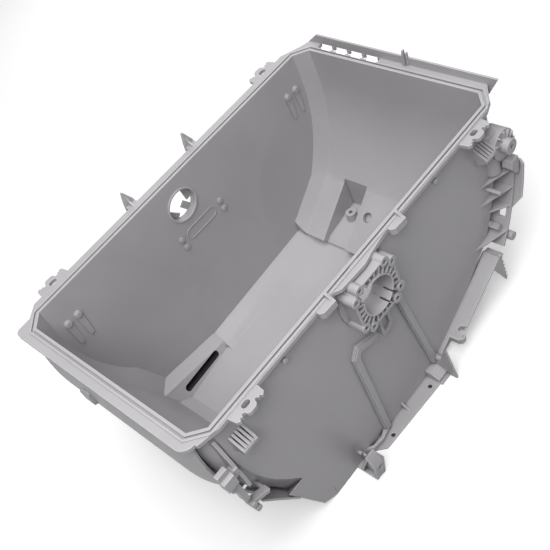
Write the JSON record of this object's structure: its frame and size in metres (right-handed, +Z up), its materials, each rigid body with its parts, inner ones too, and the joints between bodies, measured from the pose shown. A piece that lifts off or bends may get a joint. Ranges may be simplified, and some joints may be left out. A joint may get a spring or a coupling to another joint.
{
  "type": "washing machine tub half",
  "caption": "Lower half of a top-loading washing machine's tub: a deep moulded trough with a sealing rim, a bearing hub, a heater slot and side brackets.",
  "frame": {"origin": "on the drum's axis, at the outer face of the bearing hub", "axes": "+X along the drum's axis out of the hub, +Y along the length of the mouth, +Z up out of the mouth"},
  "size_m": [0.376, 0.5595, 0.306],
  "materials": {
    "tub_half": "satin grey talc-filled moulding"
  },
  "bodies": {
    "root": {"tub_half": "tub_half"}
  },
  "joints": []
}
